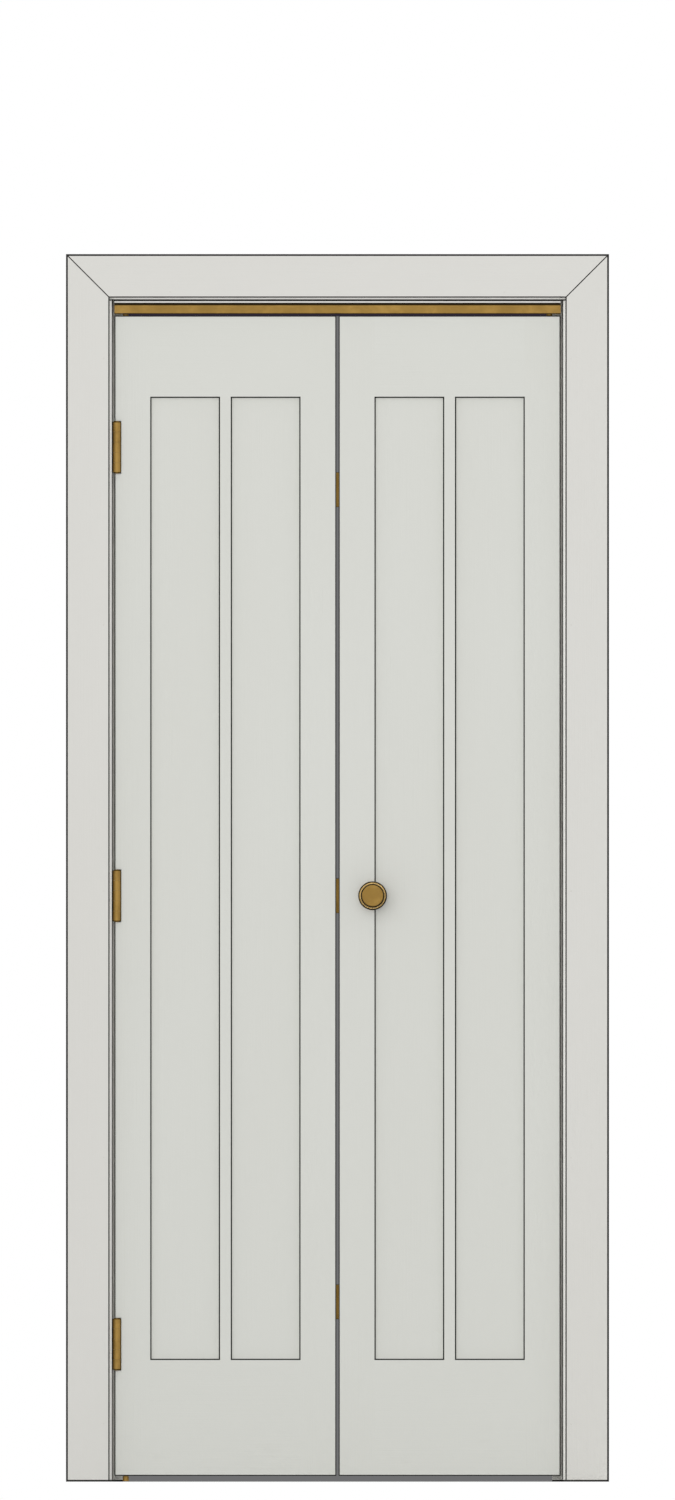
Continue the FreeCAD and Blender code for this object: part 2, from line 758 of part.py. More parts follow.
class Hinge:
    """One row of like hinges on a common upright axis."""

    def __init__(self, family, axis, height, knuckle_count):
        self.family = family
        self.axis = axis
        self.height = height
        self.knuckle_count = knuckle_count
        self.barrel_radius = f"size.{family}_barrel_radius"
        self.pin_radius = f"size.{family}_pin_radius"
        self.plate_width = f"size.{family}_plate_width"
        self.plate_thickness = f"size.{family}_plate_thickness"
        self.screw_spacing = f"size.{family}_screw_spacing"
        self.screw_length = f"size.{family}_screw_length"
        self.centres = spread(f"size.{family}_end_distance")

    def knuckle_span(self, centre, index):
        """The low and high Z of one knuckle, counted from the bottom."""
        pitch = f"({self.height} + size.knuckle_gap) / {self.knuckle_count}"
        low = f"{centre} - {self.height} / 2 + {index} * {pitch}"
        return low, f"{low} + {pitch} - size.knuckle_gap"

    def knuckle(self, name, centre, index, radius, extra="0"):
        """A cylinder on the axis over one knuckle's height, longer at both ends by extra."""
        low, high = self.knuckle_span(centre, index)
        start = (*self.axis, f"{low} - {extra}")
        return rod(name, start, radius, f"{high} - ({low}) + 2 * {extra}")

    def pins(self, name):
        """The pins, with a button head at each end."""
        radius = value(self.pin_radius)
        head = value("size.pin_head_thickness")
        head_radius = (radius + value(self.barrel_radius)) / 2
        length = value(self.height)
        solids = []
        for centre in self.centres.values():
            low = point(*self.axis, f"{centre} - {self.height} / 2")
            high = low + Vector(0, 0, length)
            shaft = Part.makeCylinder(radius, length, low)
            heads = [Part.makeCylinder(head_radius, head, low - Vector(0, 0, head)),
                     Part.makeCylinder(head_radius, head, high)]
            solids.append(shaft.fuse(heads).removeSplitter())
        return node(group(name, solids), name, len(solids))

    def screw_places(self, x, y):
        """Where the screw heads of every hinge of the row lie."""
        return [point(x, y, f"{centre} + {row} * {self.screw_spacing}")
                for centre in self.centres.values() for row in (-1, 0, 1)]

    def screws(self, name, x, y, direction):
        """The wood screws through one side of every hinge of the row."""
        radius = value("size.wood_screw_radius")
        head_radius = value("size.wood_screw_head_radius")
        length = value(self.screw_length)
        return screw_node(name, [flat_head_screw(radius, head_radius, length, start, direction)
                                 for start in self.screw_places(x, y)])

    def plate(self, name, centre, x_span, y_span, first, screws):
        """One half of a hinge: its plate and every other knuckle from the first, bored for the pin."""
        low = f"{centre} - {self.height} / 2"
        flat = block(f"{name}_flat", x_span, y_span, (low, f"{low} + {self.height}"))
        own = range(first, self.knuckle_count, 2)
        others = range(1 - first, self.knuckle_count, 2)
        reliefs = [self.knuckle(f"{name}_relief_{index}", centre, index,
                                f"{self.barrel_radius} + size.knuckle_gap", "size.knuckle_gap")
                   for index in others]
        knuckles = [self.knuckle(f"{name}_knuckle_{index}", centre, index, self.barrel_radius)
                    for index in own]
        bore = rod(f"{name}_bore", (*self.axis, f"{low} - size.pin_head_thickness"),
                   f"{self.pin_radius} + size.pin_play",
                   f"{self.height} + 2 * size.pin_head_thickness")
        relieved = cut(f"{name}_relieved", flat, *reliefs)
        return node(cut(name, fused(f"{name}_rolled", relieved, *knuckles), bore, screws), name)

    def scoops(self, name):
        """The round gains that the barrels sink into."""
        reach = "(size.pin_head_thickness + size.scoop_play)"
        return [rod(f"{name}_scoop_{spot}",
                    (*self.axis, f"{centre} - {self.height} / 2 - {reach}"),
                    f"{self.barrel_radius} + size.scoop_play", f"{self.height} + 2 * {reach}")
                for spot, centre in self.centres.items()]


def butt_hinges():
    """The three hinges between the left jamb and leaf 1."""
    hinge = Hinge("butt", ("place.butt_x", "place.butt_y"), "size.butt_height", BUTT_KNUCKLES)
    jamb_face = "-place.half_opening"
    leaf_edge = "-place.leaf_outer"
    thick = hinge.plate_thickness
    depth = ("place.butt_y", f"place.butt_y + {hinge.plate_width}")
    screw_y = f"place.butt_y + ({hinge.plate_width} + {hinge.barrel_radius}) / 2"
    jamb_screws = hinge.screws("butt_hinge_jamb_screws", f"{jamb_face} + {thick}", screw_y, -AXES["x"])
    leaf_screws = hinge.screws("butt_hinge_leaf_screws", leaf_edge, screw_y, AXES["x"])
    gains = hinge.scoops("leaf_1_butt")
    for spot, centre in hinge.centres.items():
        hinge.plate(f"butt_hinge_{spot}_jamb_plate", centre, (jamb_face, f"{jamb_face} + {thick}"),
                    depth, 0, jamb_screws)
        hinge.plate(f"butt_hinge_{spot}_leaf_plate", centre, (leaf_edge, f"{leaf_edge} + {thick}"),
                    depth, 1, leaf_screws)
        low = f"{centre} - {hinge.height} / 2"
        gains.append(block(f"leaf_1_butt_gain_{spot}", (leaf_edge, f"{leaf_edge} + {thick}"), depth,
                           (low, f"{low} + {hinge.height}")))
    hinge.pins("butt_hinge_pins")
    return jamb_screws, gains + [leaf_screws]


def fold_hinges():
    """The three hinges that fold leaf 2 on leaf 1, their plates in the gap between the leaves."""
    hinge = Hinge("fold", ("0", "place.fold_y"), "size.fold_height", FOLD_KNUCKLES)
    thick = hinge.plate_thickness
    depth = (f"place.fold_y - {hinge.plate_width}", "place.fold_y")
    screw_y = f"place.fold_y - ({hinge.plate_width} + {hinge.barrel_radius}) / 2"
    tools = {}
    for first, (leaf, side) in enumerate(LEAVES.items()):
        span = mirrored(side, f"place.leaf_inner - {thick}", "place.leaf_inner")
        screws = hinge.screws(f"fold_hinge_{leaf}_screws", f"{side} * (place.leaf_inner - {thick})",
                              screw_y, AXES["x"] * side)
        for spot, centre in hinge.centres.items():
            hinge.plate(f"fold_hinge_{spot}_{leaf}_plate", centre, span, depth, first, screws)
        tools[leaf] = hinge.scoops(f"{leaf}_fold") + [screws]
    hinge.pins("fold_hinge_pins")
    return tools


# ---------------------------------------------------------------- pins in the ends of the leaves

def guide():
    """The sprung guide pin at the top of leaf 2, with the cap that turns in the track."""
    axis = ("place.guide_x", "place.guide_y")
    at_top = (*axis, "place.leaf_top")
    outer = "size.bushing_radius"
    lip_bore = "size.guide_radius + size.guide_play"
    bushing = turned("guide_bushing", "XZ_Plane", [
        ("0", "place.bushing_low - place.leaf_top"),
        (outer, "place.bushing_low - place.leaf_top"),
        (outer, "0"),
        (lip_bore, "0"),
        (lip_bore, "-size.bushing_lip"),
        ("place.bushing_bore", "-size.bushing_lip"),
        ("place.bushing_bore", "place.spring_low - place.leaf_top"),
        ("0", "place.spring_low - place.leaf_top"),
    ], at_top)
    node(bushing, "guide_bushing")

    head_low = "place.guide_top - size.guide_head_thickness - place.leaf_top"
    pin = turned("guide_pin", "XZ_Plane", [
        ("0", "place.collar_low - place.leaf_top"),
        ("size.guide_collar_radius", "place.collar_low - place.leaf_top"),
        ("size.guide_collar_radius", "-size.bushing_lip"),
        ("size.guide_radius", "-size.bushing_lip"),
        ("size.guide_radius", "size.guide_neck"),
        ("size.guide_stem_radius", "size.guide_neck"),
        ("size.guide_stem_radius", head_low),
        ("size.guide_head_radius", head_low),
        ("size.guide_head_radius", "place.guide_top - place.leaf_top"),
        ("0", "place.guide_top - place.leaf_top"),
    ], at_top)
    node(pin, "guide_pin")

    bore = "size.guide_stem_radius + size.pin_play"
    cap = turned("guide_cap", "XZ_Plane", [
        (bore, "size.guide_neck"),
        ("size.guide_radius", "size.guide_neck"),
        ("size.guide_radius", head_low),
        (bore, head_low),
    ], at_top)
    node(cap, "guide_cap")

    wire = value("size.spring_wire_radius")
    coil_radius = value("place.spring_radius")
    low = point(*axis, "place.spring_low") + Vector(0, 0, wire)
    rise = value("place.collar_low - place.spring_low") - 2 * wire
    helix = Part.makeHelix(rise / value("size.spring_turns"), rise, coil_radius)
    section = Part.Wire(Part.makeCircle(wire, Vector(coil_radius, 0, 0), AXES["y"]))
    coil = Part.Wire(helix).makePipeShell([section], True, True)
    coil.translate(low)
    node(group("guide_spring", [coil]), "guide_spring")
    return rod("leaf_2_bushing_hole", (*axis, "place.bushing_low"),
               "size.bushing_radius + size.bushing_play", "place.leaf_top - place.bushing_low")


def lift_pin():
    """The pin at the top of leaf 1, which stops the leaf from being lifted off its hinges."""
    axis = ("-place.guide_x", "place.guide_y")
    top = "place.track_low - size.lift_pin_clearance"
    low = f"{top} - size.lift_pin_length"
    node(rod("anti_lift_pin", (*axis, low), "size.guide_radius", "size.lift_pin_length"), "anti_lift_pin")
    return rod("leaf_1_lift_pin_hole", (*axis, low), "size.guide_radius + size.bushing_play",
               f"place.leaf_top - ({low})")


def glide_foot():
    """The screw foot at the bottom of leaf 1, its lock nut and the socket it turns in."""
    axis = ("-place.guide_x", "place.guide_y")
    foot_low = "size.foot_clearance"
    foot_top = f"{foot_low} + size.foot_height"
    stem_top = "place.leaf_low + size.foot_thread_length"
    foot = turned("glide_foot", "XZ_Plane", [
        ("0", foot_low),
        ("size.foot_radius", foot_low),
        ("size.foot_radius", foot_top),
        ("size.foot_stem_radius", foot_top),
        ("size.foot_stem_radius", stem_top),
        ("0", stem_top),
    ], (*axis, "0"))
    node(foot, "glide_foot")

    nut = doc.addObject("Part::Prism", "glide_nut_hexagon")
    nut.Polygon = NUT_SIDES
    nut.setExpression("Circumradius", "size.foot_radius")
    nut.setExpression("Height", "size.foot_nut_height")
    bind_base(nut, (*axis, foot_top))
    stem_hole = rod("glide_nut_hole", (*axis, foot_top), "size.foot_stem_radius", "size.foot_nut_height")
    node(cut("glide_nut", nut, stem_hole), "glide_nut")

    sleeve = rod("glide_socket_sleeve", (*axis, "place.leaf_low"), "size.bushing_radius",
                 "size.foot_socket_length")
    sleeve_bore = rod("glide_socket_bore", (*axis, "place.leaf_low"),
                      "size.foot_stem_radius + size.bushing_play",
                      "size.foot_socket_length - size.bushing_floor")
    node(cut("glide_socket", sleeve, sleeve_bore), "glide_socket")
    return rod("leaf_1_socket_hole", (*axis, "place.leaf_low"), "size.bushing_radius + size.bushing_play",
               "size.foot_socket_length")


# ---------------------------------------------------------------- knob

def is_rim(radius, depth):
    """A test for the circular edge of a turned piece with a radius and a place along Y."""
    def test(edge):
        curve = edge.Curve
        if curve.TypeId != "Part::GeomCircle":
            return False
        is_wide = abs(curve.Radius - value(radius)) < TOLERANCE
        return is_wide and abs(curve.Center.y + value(depth)) < TOLERANCE
    return test


def knob():
    """The pull knob of leaf 2, its rose and the screw that holds it from behind."""
    centre = ("place.knob_x", "place.leaf_front", "place.leaf_centre")
    screw_radius = value("size.knob_screw_radius")
    start = point("place.knob_x", "place.leaf_back", "place.leaf_centre")
    length = value("size.leaf_thickness + size.rose_thickness + size.knob_screw_grip")
    screw = pan_head_screw(screw_radius, value("size.knob_screw_head_radius"),
                           value("size.knob_screw_head_height"), length, start, -AXES["y"])
    screw_hole = screw_node("knob_screw", [screw])

    rose = turned("knob_rose_disc", "XY_Plane", [
        ("0", "0"), ("size.rose_radius", "0"), ("size.rose_radius", "-size.rose_thickness"),
        ("0", "-size.rose_thickness"),
    ], centre)
    rounded(rose, "knob_rose_round", "size.rose_round", is_rim("size.rose_radius", "size.rose_thickness"))
    node(cut("knob_rose", rose, screw_hole), "knob_rose")

    neck = "size.knob_neck_radius"
    rim_back = "size.knob_projection - size.knob_rim"
    grip = turned("knob_grip", "XY_Plane", [
        ("0", "-size.rose_thickness"),
        (f"{neck} + size.knob_round", "-size.rose_thickness"),
        (neck, "-(size.rose_thickness + size.knob_round)"),
        (neck, "-(size.rose_thickness + size.knob_screw_grip)"),
        ("size.knob_radius", f"-({rim_back})"),
        ("size.knob_radius", "-size.knob_projection"),
        ("0", "-size.knob_projection"),
    ], centre)
    rounded(grip, "knob_face_round", "size.knob_round", is_rim("size.knob_radius", "size.knob_projection"))
    node(cut("knob", grip, screw_hole), "knob")
    return screw_hole


# ---------------------------------------------------------------- assembly

def build():
    """Make every sub-part."""
    jamb_hinge_screws, leaf_1_outer_tools = butt_hinges()
    fold_tools = fold_hinges()
    track_screws = overhead_track()
    frame_screws = corner_screws()
    nails = trim_nails()
    side_jamb("jamb_left", SIDES["left"], [frame_screws, nails, jamb_hinge_screws])
    side_jamb("jamb_right", SIDES["right"], [frame_screws, nails])
    head_jamb([frame_screws, nails, track_screws])
    stops(nails)
    for name, side in SIDES.items():
        side_casing(f"casing_{name}", side, nails)
    head_casing(nails)
    leaf_1_outer_tools += [lift_pin(), glide_foot()]
    leaf_2_outer_tools = [guide()]
    knob_screw = knob()
    leaf_woodwork("leaf_1", fold_tools["leaf_1"], leaf_1_outer_tools, [])
    leaf_woodwork("leaf_2", fold_tools["leaf_2"], leaf_2_outer_tools, [knob_screw])


def check_document():
    """Stop if any object failed, or a sub-part isn't the sound solid it should be."""
    doc.recompute()
    for item in doc.Objects:
        if "Invalid" in item.State or "Error" in item.State:
            raise RuntimeError(f"{item.Name} failed: {item.State}")
    for piece, count in nodes:
        shape = piece.Shape
        if shape.isNull() or not shape.isValid():
            raise RuntimeError(f"{piece.Label} is not a valid solid")
        if len(shape.Solids) != count:
            raise RuntimeError(f"{piece.Label} has {len(shape.Solids)} solids, not {count}")


def write_parts():
    """Write each sub-part to its own file."""
    os.makedirs(PARTS_FOLDER, exist_ok=True)
    for piece, _ in nodes:
        piece.Shape.exportStep(os.path.join(PARTS_FOLDER, f"{piece.Label}.step"))


build()
check_document()
write_parts()
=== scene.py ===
"""A two-leaf bifold closet door in its mitred casing: paint, brass, putty and the studio round it."""

import json
import math

import bmesh
import bpy
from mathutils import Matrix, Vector


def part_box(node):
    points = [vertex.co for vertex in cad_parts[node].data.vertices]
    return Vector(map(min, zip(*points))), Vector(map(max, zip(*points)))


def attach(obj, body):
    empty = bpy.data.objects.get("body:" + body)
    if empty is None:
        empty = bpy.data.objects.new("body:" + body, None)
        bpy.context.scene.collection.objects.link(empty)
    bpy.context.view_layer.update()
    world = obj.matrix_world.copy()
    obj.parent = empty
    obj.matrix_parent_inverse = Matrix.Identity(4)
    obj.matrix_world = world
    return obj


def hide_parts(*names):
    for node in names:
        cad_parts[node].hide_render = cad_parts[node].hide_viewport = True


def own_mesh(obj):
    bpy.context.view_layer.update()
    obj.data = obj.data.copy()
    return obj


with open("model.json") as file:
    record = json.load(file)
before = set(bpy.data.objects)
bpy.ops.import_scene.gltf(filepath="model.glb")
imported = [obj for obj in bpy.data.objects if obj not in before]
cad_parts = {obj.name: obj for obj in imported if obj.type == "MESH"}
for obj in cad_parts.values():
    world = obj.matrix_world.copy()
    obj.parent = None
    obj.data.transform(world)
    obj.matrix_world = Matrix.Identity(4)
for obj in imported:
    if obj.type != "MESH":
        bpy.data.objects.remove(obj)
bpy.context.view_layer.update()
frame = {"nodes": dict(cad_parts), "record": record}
nodes = frame["nodes"]

MM = 0.001
HALF = 0.5


# ---------------------------------------------------------------- colours and sizes

def paint(red, green, blue):
    """A colour chip's 0 to 255 values as the linear colour that a shader takes, by the sRGB curve."""
    linear = [
        value / 12.92 if value <= 0.04045 else ((value + 0.055) / 1.055) ** 2.4
        for value in (red / 255, green / 255, blue / 255)
    ]
    return (*linear, 1.0)


DOOR_PAINT = paint(212, 213, 207)
CASING_PAINT = paint(214, 213, 208)
# The jambs' paint: paler than the casing's, and lifted further as painted light against the shade the casing
# throws on the reveals.
JAMB_PAINT = paint(243, 242, 238)
FILLER_PAINT = paint(211, 210, 204)
# Near-black painted shade, laid in joints and corners and in the dark lines along edges, quirks and feet.
PAINTED_SHADE = paint(28, 27, 25)
HAND_SHADE = paint(190, 186, 172)
SCUFF_SHADE = paint(160, 156, 146)
BRASS = paint(124, 98, 50)
BRASS_BRIGHT = paint(148, 120, 66)
# The same brass lifted lighter for the hinges and the rose, as painted light against the shade on the barrels
# and under the knob.
BRASS_HINGE = paint(172, 140, 78)
BRASS_ROSE = paint(168, 142, 92)
BRASS_TARNISH = paint(110, 86, 43)
# Painted shade on brass: down barrel flanks and at their ends, along the track's edges, inside turned rims
# and in corners.
BRASS_SHADE = paint(34, 26, 12)
ZINC = paint(176, 179, 180)
ZINC_DULL = paint(132, 135, 138)
BEECH = paint(198, 164, 118)
BEECH_GRAIN = paint(158, 120, 78)
RUBBER = paint(34, 34, 35)
# The glowing grey of the closet's painted shade seen through the gaps, and a darker painted shade under the
# track.
CLOSET_SHADE_GREY = paint(111, 111, 112)
CLOSET_SHADE_HEAD = paint(46, 40, 52)

# The camera's frame, in metres: its long side, the height of its middle and how far off it stands.
VIEW_LONG_SIDE = 2.5856
VIEW_MIDDLE_HEIGHT = 1.2612
VIEW_DISTANCE = 6.0

casing_low, casing_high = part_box("casing_right")
casing_head_low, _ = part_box("casing_head")
jamb_low, jamb_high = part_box("jamb_right")
head_jamb_low, head_jamb_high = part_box("head_jamb")
stop_head_low, stop_head_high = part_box("stop_head")
stile_low, stile_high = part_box("leaf_2_inner_stile")
outer_stile_low, outer_stile_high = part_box("leaf_2_outer_stile")
_, mullion_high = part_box("leaf_2_mullion")
top_rail_low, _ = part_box("leaf_2_top_rail")
_, bottom_rail_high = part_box("leaf_2_bottom_rail")
knob_low, knob_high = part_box("knob")
rose_low, rose_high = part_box("knob_rose")
track_low, track_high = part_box("track")
nails_low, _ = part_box("trim_nails")
_, stop_left_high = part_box("stop_left")

# Both leaves are laid out alike on each side of the door's centre line, and each panel of a leaf
# alike on each side of the leaf's own axis.
LEAF_AXIS = (stile_low.x + outer_stile_high.x) * HALF
LEAF_HALF_WIDTH = (outer_stile_high.x - stile_low.x) * HALF
LEAF_MIDDLE_Y = (stile_low.y + stile_high.y) * HALF
LEAF_HALF_THICKNESS = (stile_high.y - stile_low.y) * HALF
LEAF_MIDDLE_Z = (stile_low.z + stile_high.z) * HALF
LEAF_HALF_HEIGHT = (stile_high.z - stile_low.z) * HALF
PANEL_OFF_AXIS = (mullion_high.x + outer_stile_low.x) * HALF - LEAF_AXIS
PANEL_HALF_WIDTH = (outer_stile_low.x - mullion_high.x) * HALF
PANEL_MIDDLE_Z = (bottom_rail_high.z + top_rail_low.z) * HALF
PANEL_HALF_HEIGHT = (top_rail_low.z - bottom_rail_high.z) * HALF
PANEL_QUIRK = 1.6 * MM
CASING_WIDTH = casing_high.x - casing_low.x

KNOB_X = (knob_low.x + knob_high.x) * HALF
KNOB_Z = (knob_low.z + knob_high.z) * HALF
KNOB_RADIUS = (knob_high.x - knob_low.x) * HALF
ROSE_RADIUS = (rose_high.x - rose_low.x) * HALF

# How wide the dark lines of painted shade along edges, joints and quirks are, and how far they fade out.
OUTLINE = 1.9 * MM
LEAF_LINE = 1.7 * MM
HEAVY_LINE = 3.0 * MM
TRACK_LINE = 3.2 * MM
QUIRK_SPREAD = 0.1 * MM
MITRE_HALF_LINE = 1.15 * MM
LINE_FADE = 0.4 * MM


# ---------------------------------------------------------------- shader writing

class Amount:
    """A shader socket on which Python's operators work. Each operation adds one Math node."""

    def __init__(self, finish, socket):
        self.finish = finish
        self.socket = socket

    def of(self, name):
        """Another output of the same node."""
        return Amount(self.finish, self.socket.node.outputs[name])

    def __add__(self, other):
        return self.finish.maths("ADD", self, other)

    def __radd__(self, other):
        return self.finish.maths("ADD", other, self)

    def __sub__(self, other):
        return self.finish.maths("SUBTRACT", self, other)

    def __rsub__(self, other):
        return self.finish.maths("SUBTRACT", other, self)

    def __mul__(self, other):
        return self.finish.maths("MULTIPLY", self, other)

    def __rmul__(self, other):
        return self.finish.maths("MULTIPLY", other, self)

    def __pow__(self, other):
        return self.finish.maths("POWER", self, other)

    def __abs__(self):
        return self.finish.maths("ABSOLUTE", self)


class Finish:
    """One material, written as expressions on its sockets."""

    def __init__(self, name, tree_owner=None):
        self.material = tree_owner or bpy.data.materials.new(name)
        self.material.use_nodes = True
        self.tree = self.material.node_tree
        self.tree.nodes.clear()

    def add(self, kind, settings=None, inputs=None):
        """Adds a node: its settings first, then its sockets' values or links. Gives its first output."""
        made = self.tree.nodes.new("ShaderNode" + kind)
        for name, setting in (settings or {}).items():
            setattr(made, name, setting)
        for name, value in (inputs or {}).items():
            socket = self.find(made.inputs, name)
            if isinstance(value, Amount):
                self.tree.links.new(value.socket, socket)
            else:
                socket.default_value = value
        shown = [output for output in made.outputs if output.enabled]
        return Amount(self, shown[0]) if shown else None

    @staticmethod
    def find(sockets, name):
        """A socket by its number, its identifier or its name."""
        if isinstance(name, int):
            return sockets[name]
        return next((socket for socket in sockets if socket.identifier == name), None) or sockets[name]

    def maths(self, operation, *values):
        return self.add("Math", {"operation": operation}, dict(enumerate(values)))

    def place(self):
        """The X, Y and Z of the surface in the object's own frame, in metres."""
        parts = self.add("SeparateXYZ", inputs={"Vector": self.add("TexCoord").of("Object")})
        return parts, parts.of("Y"), parts.of("Z")

    def noise(self, across, along=None, along_axis=2, detail=3.0, roughness=0.55, distortion=0.0):
        """Noise with so many waves a metre, stretched along one axis if along is given."""
        scale = [across] * 3
        scale[along_axis] = across if along is None else along
        mapped = self.add("Mapping", inputs={"Vector": self.add("TexCoord").of("Object"), "Scale": scale})
        settings = {"noise_dimensions": "3D"}
        values = {"Vector": mapped, "Scale": 1.0, "Detail": detail,
                  "Roughness": roughness, "Distortion": distortion}
        return self.add("TexNoise", settings, values)

    def facing(self):
        """How squarely a point faces the front or the back of the door: 1 on the faces, 0 on the sides."""
        normal = self.add("TexCoord").of("Normal")
        return abs(self.add("SeparateXYZ", inputs={"Vector": normal}).of("Y"))

    def rise(self, value, low, high):
        """0 below low, 1 above high, smooth between. With low above high it falls instead."""
        settings = {"interpolation_type": "SMOOTHSTEP", "clamp": True}
        if low < high:
            return self.add("MapRange", settings, {"Value": value, "From Min": low, "From Max": high})
        return 1 - self.add("MapRange", settings, {"Value": value, "From Min": high, "From Max": low})

    def larger(self, first, second):
        return self.maths("MAXIMUM", first, second)

    def band(self, value, low, high):
        """1 from low to high, faded out beyond them."""
        return self.rise(value, low - LINE_FADE, low) * self.rise(value, high + LINE_FADE, high)

    def blend(self, share, under, over):
        """Colour over on colour under, by share."""
        settings = {"data_type": "RGBA", "blend_type": "MIX", "clamp_factor": True}
        return self.add("Mix", settings, {"Factor_Float": share, "A_Color": under, "B_Color": over})

    def bump(self, height, depth):
        """A normal from a height of 0 to 1 that stands for depth, in metres."""
        return self.add("Bump", inputs={"Strength": 1.0, "Distance": depth, "Height": height})

    def closeness(self, reach):
        """1 in the open, towards 0 in a joint or corner narrower than reach."""
        return self.add("AmbientOcclusion", {"samples": 6}, {"Distance": reach}).of("AO")

    def surface(self, **sockets):
        """The Principled shader with these sockets, joined to the output."""
        named = {name.replace("_", " "): value for name, value in sockets.items()}
        shader = self.add("BsdfPrincipled", inputs=named)
        self.add("OutputMaterial", inputs={"Surface": shader})
        return self.material


# ---------------------------------------------------------------- paint

# How squarely a face must be turned to the front or the back for its lines to start, and to be full.
LINES_START_FACING = 0.03
LINES_FULL_FACING = 0.15
# Where handling round the knob and scuffs above the floor end, and where they are full.
HANDLED_END, HANDLED_FULL = 85 * MM, 30 * MM
SCUFFED_END, SCUFFED_FULL = 160 * MM, 15 * MM
# How much of its own colour each mark gives to the paint, and how much painted shade goes into joints and
# corners.
UNEVEN_TINT = 0.06
GRAIN_TINT = 0.035
SCUFF_TINT = 0.06
HANDLED_TINT = 0.06
PAINTED_SHADE_TINT = 0.7
# The painted shade in joints and corners: the widest joint that it fills, how open a point may be to take it,
# and its softness.
PAINT_JOINT_WIDTH = 1.6 * MM
PAINT_JOINT_OPENNESS = 0.62
JOINT_SOFTNESS = 0.3
# The coat's own roughness, what a dark line adds to it, and the depth of its brush marks.
PAINT_ROUGHNESS = 0.4
LINE_ROUGHNESS = 0.45
BRUSH_RELIEF = 0.28 * MM


def painted_shade_share(finish, width, openness):
    """How far a point lies in a joint or corner, from 0 in the open to 1: the share of painted shade, found
    by ambient occlusion.
    """
    return finish.rise(finish.closeness(width), openness, openness - JOINT_SOFTNESS)


def on_face(finish):
    """1 on what faces the front or the back of the door, rounded edges included, 0 on edges and ends."""
    return finish.rise(finish.facing(), LINES_START_FACING, LINES_FULL_FACING)


def foot_line(finish, up):
    """1 just above the floor, for a line of painted shade along the foot."""
    return finish.band(up, 0, HEAVY_LINE)


def leaf_lines(finish, across, up):
    """1 on the outline of a leaf and in the quirks round its panels, where lines of painted shade lie."""
    off_axis = abs(abs(across) - LEAF_AXIS)
    past_leaf = finish.larger(off_axis - LEAF_HALF_WIDTH, abs(up - LEAF_MIDDLE_Z) - LEAF_HALF_HEIGHT)
    past_panel = finish.larger(abs(off_axis - PANEL_OFF_AXIS) - PANEL_HALF_WIDTH,
                               abs(up - PANEL_MIDDLE_Z) - PANEL_HALF_HEIGHT)
    outline = finish.band(past_leaf, -LEAF_LINE, 0)
    quirks = finish.band(past_panel, -PANEL_QUIRK - QUIRK_SPREAD, QUIRK_SPREAD)
    return finish.larger(outline, quirks) * on_face(finish)


def casing_lines(finish, across, up):
    """1 on both edges of the casing and at its feet, where lines of painted shade lie, and on the dark
    hairlines of the mitres.
    """
    from_side = abs(across) - casing_low.x
    from_head = up - casing_head_low.z
    past_inner = finish.larger(from_side, from_head)
    outer_edge = finish.band(past_inner, CASING_WIDTH - HEAVY_LINE, CASING_WIDTH)
    edges = finish.band(past_inner, 0, OUTLINE) + outer_edge
    mitre = finish.rise(abs(from_side - from_head), MITRE_HALF_LINE + LINE_FADE, MITRE_HALF_LINE)
    return finish.larger(finish.larger(edges, mitre), foot_line(finish, up)) * on_face(finish)


def jamb_lines(finish, across, up):
    """1 on the jambs' edges round the opening and at their feet, where lines of painted shade lie."""
    over_head = up - head_jamb_low.z
    sides = finish.band(abs(across) - jamb_low.x, 0, OUTLINE * HALF) * finish.rise(over_head, LINE_FADE, 0)
    edges = finish.larger(sides, finish.band(over_head, 0, OUTLINE))
    return finish.larger(edges, foot_line(finish, up)) * on_face(finish)


def packer_lines(finish, _, up):
    """1 along the packing strip's edges, where it meets the head and the track, in lines of painted shade."""
    top = finish.band(up, head_jamb_low.z - OUTLINE * HALF, head_jamb_low.z)
    return finish.larger(top, finish.band(up, track_high.z, track_high.z + OUTLINE * HALF)) * on_face(finish)


def hand_marks(finish):
    """A faint bloom of handling round the knob."""
    near = finish.rise(off_knob(finish), HANDLED_END, HANDLED_FULL)
    return near * finish.rise(finish.noise(45), low=0.4, high=0.75)


def foot_scuffs(finish, up):
    """Faint scuffs just above the floor."""
    near = finish.rise(up, SCUFFED_END, SCUFFED_FULL)
    return near * finish.rise(finish.noise(60, 14, along_axis=0), low=0.56, high=0.75)


